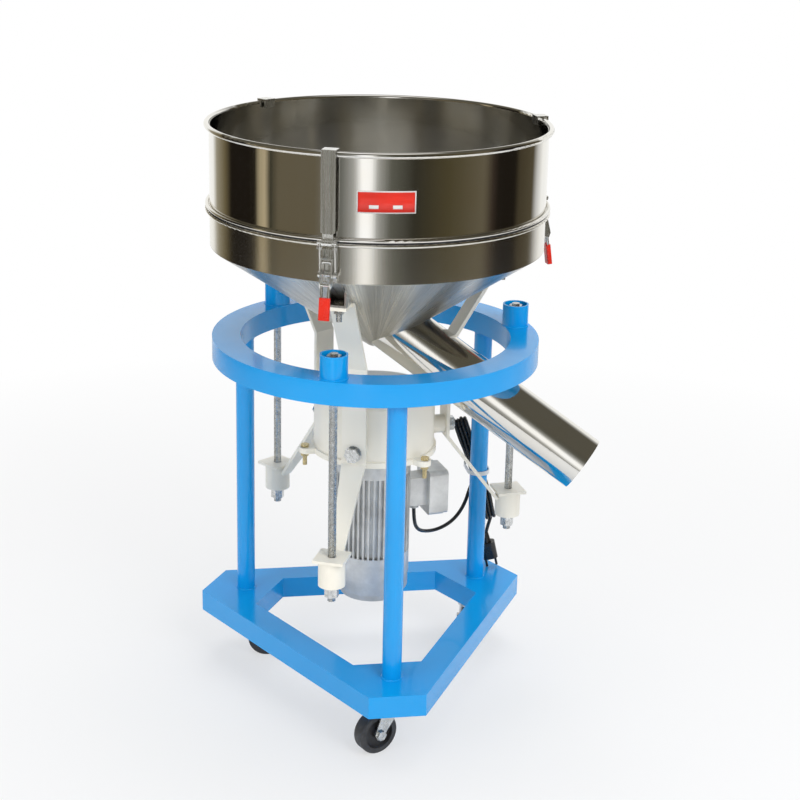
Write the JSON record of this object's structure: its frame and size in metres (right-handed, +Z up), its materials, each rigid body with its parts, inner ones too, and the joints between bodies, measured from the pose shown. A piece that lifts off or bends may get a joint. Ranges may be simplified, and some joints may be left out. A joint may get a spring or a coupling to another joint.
{
  "type": "vibrating sieve",
  "caption": "Round stainless vibrating sieve on rubber hangers in a blue castered frame, with a motor below, toggle latches and a slanting discharge spout.",
  "frame": {"origin": "on the floor under the wheels, at the middle of the machine's outline seen from above (the lead and its plug left out)", "axes": "+Z up, -Y towards the front post and the front latch, +X towards the discharge spout"},
  "size_m": [0.7182, 0.6316, 1.0658],
  "materials": {
    "frame_blue": "gloss enamel",
    "motor_cream": "satin enamel",
    "stainless": "polished stainless steel",
    "stainless_mesh": "woven wire",
    "zinc": "bright zinc plating",
    "cast_aluminium": "silver painted casting",
    "steel": "machined",
    "rubber_black": "matt",
    "wheel_grey": "matt",
    "grip_red": "glossy",
    "cord_black": "semi-gloss sheath",
    "tie_white": "glossy"
  },
  "bodies": {
    "frame": {"base_frame": "frame_blue", "post_front": "frame_blue", "post_right": "frame_blue", "post_left": "frame_blue", "top_ring": "frame_blue", "hanger_cups": "frame_blue", "caster_plates": "zinc", "caster_bolts": "zinc", "power_lead": "cord_black", "power_lead_tail": "cord_black", "lead_hank": "cord_black", "plug": "cord_black", "cable_tie": "tie_white"},
    "vibrator": {"upper_rubbers": "rubber_black", "lower_rubbers": "rubber_black", "hanger_rods": "zinc", "rod_nuts": "zinc", "arm_front": "motor_cream", "arm_right": "motor_cream", "arm_left": "motor_cream", "arm_bolts": "zinc", "motor_housing": "motor_cream", "motor_flange": "motor_cream", "housing_bolts": "zinc", "motor_body": "cast_aluminium", "motor_bearings": "steel", "fan_cowl": "cast_aluminium", "junction_box": "cast_aluminium", "junction_lid": "cast_aluminium", "collecting_pan": "stainless", "discharge_spout": "stainless", "pan_gasket": "rubber_black", "sieve_mesh": "stainless_mesh", "sieve_frame": "stainless", "latch_bases": "stainless"},
    "rotor": {"rotor_shaft": "steel", "eccentric_weights": "steel"},
    "swivel_front": {"caster_fork_front": "zinc", "caster_axle_front": "zinc"},
    "wheel_front": {"caster_wheel_front": "wheel_grey"},
    "swivel_right": {"caster_fork_right": "zinc", "caster_axle_right": "zinc"},
    "wheel_right": {"caster_wheel_right": "wheel_grey"},
    "swivel_left": {"caster_fork_left": "zinc", "caster_axle_left": "zinc"},
    "wheel_left": {"caster_wheel_left": "wheel_grey"},
    "lever_front": {"latch_lever_front": "stainless", "latch_grip_front": "grip_red"},
    "bail_front": {"latch_bail_front": "stainless"},
    "strap_front": {"latch_strap_front": "stainless"},
    "lever_right": {"latch_lever_right": "stainless", "latch_grip_right": "grip_red"},
    "bail_right": {"latch_bail_right": "stainless"},
    "strap_right": {"latch_strap_right": "stainless"},
    "lever_left": {"latch_lever_left": "stainless", "latch_grip_left": "grip_red"},
    "bail_left": {"latch_bail_left": "stainless"},
    "strap_left": {"latch_strap_left": "stainless"}
  },
  "joints": [
    {"name": "bounce", "type": "slide", "parent": "frame", "child": "vibrator", "axis": [0, 0, 1], "range_m": [-0.003, 0.003], "stiffness_N_per_m": 300000, "springref_m": 0.00162, "deforming": ["upper_rubbers"]},
    {"name": "rotor_spin", "type": "hinge", "parent": "vibrator", "child": "rotor", "pos_m": [-0.03683, 0.01585, 0.37], "axis": [0, 0, 1], "continuous": true},
    {"name": "swivel_front_turn", "type": "hinge", "parent": "frame", "child": "swivel_front", "pos_m": [-0.0036, -0.22991, 0.09], "axis": [0, 0, 1], "continuous": true},
    {"name": "wheel_front_spin", "type": "hinge", "parent": "swivel_front", "child": "wheel_front", "pos_m": [-0.02876, -0.24625, 0.0375], "axis": [0.5446, -0.8387, 0], "continuous": true},
    {"name": "swivel_right_turn", "type": "hinge", "parent": "frame", "child": "swivel_right", "pos_m": [0.15939, 0.16751, 0.09], "axis": [0, 0, 1], "continuous": true},
    {"name": "wheel_right_spin", "type": "hinge", "parent": "swivel_right", "child": "wheel_right", "pos_m": [0.15939, 0.19751, 0.0375], "axis": [-1, 0, 0], "continuous": true},
    {"name": "swivel_left_turn", "type": "hinge", "parent": "frame", "child": "swivel_left", "pos_m": [-0.26628, 0.10996, 0.09], "axis": [0, 0, 1], "continuous": true},
    {"name": "wheel_left_spin", "type": "hinge", "parent": "swivel_left", "child": "wheel_left", "pos_m": [-0.23674, 0.11517, 0.0375], "axis": [-0.1736, 0.9848, 0], "continuous": true},
    {"name": "lever_front_turn", "type": "hinge", "parent": "vibrator", "child": "lever_front", "pos_m": [-0.11885, -0.27791, 0.8878], "axis": [-0.9632, 0.2689, 0], "range_deg": [0, 90]},
    {"name": "bail_front_turn", "type": "hinge", "parent": "lever_front", "child": "bail_front", "pos_m": [-0.11803, -0.27497, 0.866], "axis": [-0.9632, 0.2689, 0], "range_deg": [-63, 0]},
    {"name": "strap_front_turn", "type": "hinge", "parent": "bail_front", "child": "strap_front", "pos_m": [-0.11925, -0.27936, 0.919], "axis": [-0.9632, 0.2689, 0], "range_deg": [-27, 0]},
    {"name": "lever_right_turn", "type": "hinge", "parent": "vibrator", "child": "lever_right", "pos_m": [0.25859, 0.0917, 0.8878], "axis": [0.2487, -0.9686, 0], "range_deg": [0, 90]},
    {"name": "bail_right_turn", "type": "hinge", "parent": "lever_right", "child": "bail_right", "pos_m": [0.25562, 0.09094, 0.866], "axis": [0.2487, -0.9686, 0], "range_deg": [-63, 0]},
    {"name": "strap_right_turn", "type": "hinge", "parent": "bail_right", "child": "strap_right", "pos_m": [0.26004, 0.09207, 0.919], "axis": [0.2487, -0.9686, 0], "range_deg": [-27, 0]},
    {"name": "lever_left_turn", "type": "hinge", "parent": "vibrator", "child": "lever_left", "pos_m": [-0.25023, 0.23376, 0.8878], "axis": [0.7145, 0.6997, 0], "range_deg": [0, 90]},
    {"name": "bail_left_turn", "type": "hinge", "parent": "lever_left", "child": "bail_left", "pos_m": [-0.24809, 0.23158, 0.866], "axis": [0.7145, 0.6997, 0], "range_deg": [-63, 0]},
    {"name": "strap_left_turn", "type": "hinge", "parent": "bail_left", "child": "strap_left", "pos_m": [-0.25128, 0.23484, 0.919], "axis": [0.7145, 0.6997, 0], "range_deg": [-27, 0]}
  ],
  "couplings": [
    {"joint": "bail_front_turn", "follows": "lever_front_turn", "ratio": -0.7},
    {"joint": "strap_front_turn", "follows": "lever_front_turn", "ratio": -0.3},
    {"joint": "bail_right_turn", "follows": "lever_right_turn", "ratio": -0.7},
    {"joint": "strap_right_turn", "follows": "lever_right_turn", "ratio": -0.3},
    {"joint": "bail_left_turn", "follows": "lever_left_turn", "ratio": -0.7},
    {"joint": "strap_left_turn", "follows": "lever_left_turn", "ratio": -0.3}
  ]
}
